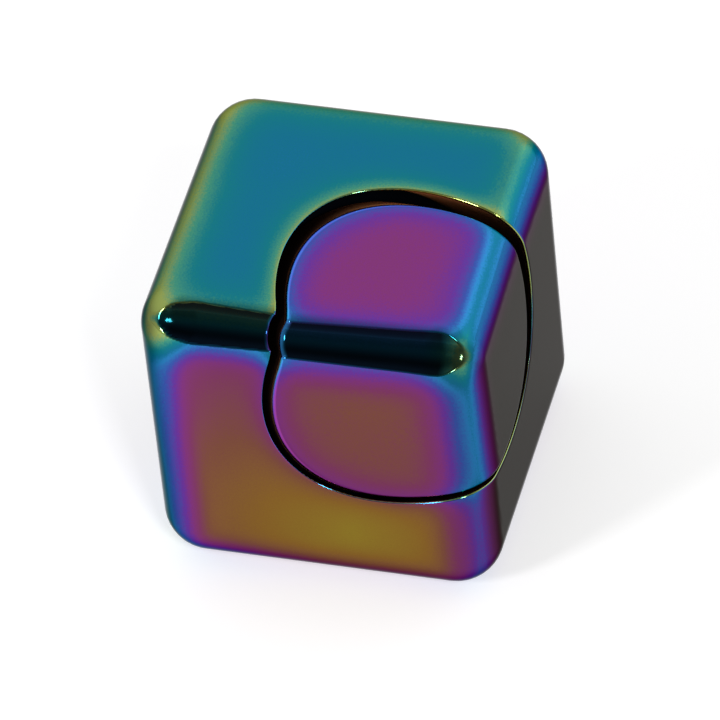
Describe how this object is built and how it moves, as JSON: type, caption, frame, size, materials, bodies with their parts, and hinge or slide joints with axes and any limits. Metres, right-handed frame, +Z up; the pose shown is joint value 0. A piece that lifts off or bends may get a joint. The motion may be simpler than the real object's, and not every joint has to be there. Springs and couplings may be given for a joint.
{
  "type": "fidget cube",
  "caption": "Polished iridescent metal cube that spins about its own diagonal between opposite corner caps joined by an axle in a ball bearing.",
  "frame": {"origin": "centre of the cube's bottom face, on the surface it stands on", "axes": "+Z up, -Y front face, +X right face; the spin axis runs from the rear bottom left corner to the front top right corner, along (1, -1, 1)"},
  "size_m": [0.0252, 0.0252, 0.0252],
  "materials": {
    "body_metal": "mirror-polished zinc alloy with a rainbow coating, blue-green to brown",
    "cap_metal": "mirror-polished zinc alloy with a rainbow coating, purple to blue",
    "axle_steel": "ground steel",
    "spacer_steel": "turned steel",
    "ring_steel": "ground bearing steel",
    "ball_steel": "polished bearing steel",
    "cage_bronze": "satin bronze",
    "shield_steel": "pressed steel sheet",
    "snap_ring_steel": "spring steel wire"
  },
  "bodies": {
    "cube_body": {"body": "body_metal", "bearing_outer_ring": "ring_steel", "front_shield": "shield_steel", "rear_shield": "shield_steel", "front_snap_ring": "snap_ring_steel", "rear_snap_ring": "snap_ring_steel"},
    "corner_caps": {"front_corner_cap": "cap_metal", "rear_corner_cap": "cap_metal", "axle": "axle_steel", "front_spacer": "spacer_steel", "rear_spacer": "spacer_steel", "bearing_inner_ring": "ring_steel"},
    "ball_cage": {"bearing_cage": "cage_bronze", "bearing_ball_1": "ball_steel", "bearing_ball_2": "ball_steel", "bearing_ball_3": "ball_steel", "bearing_ball_4": "ball_steel", "bearing_ball_5": "ball_steel", "bearing_ball_6": "ball_steel", "bearing_ball_7": "ball_steel", "bearing_ball_8": "ball_steel", "bearing_ball_9": "ball_steel", "bearing_ball_10": "ball_steel"}
  },
  "joints": [
    {"name": "cap_spin", "type": "hinge", "parent": "cube_body", "child": "corner_caps", "pos_m": [0, 0, 0.0125], "axis": [0.5774, -0.5774, 0.5774], "continuous": true},
    {"name": "ball_cage_spin", "type": "hinge", "parent": "cube_body", "child": "ball_cage", "pos_m": [0, 0, 0.0125], "axis": [0.5774, -0.5774, 0.5774], "continuous": true}
  ],
  "couplings": [
    {"joint": "ball_cage_spin", "follows": "cap_spin", "ratio": 0.41664}
  ]
}
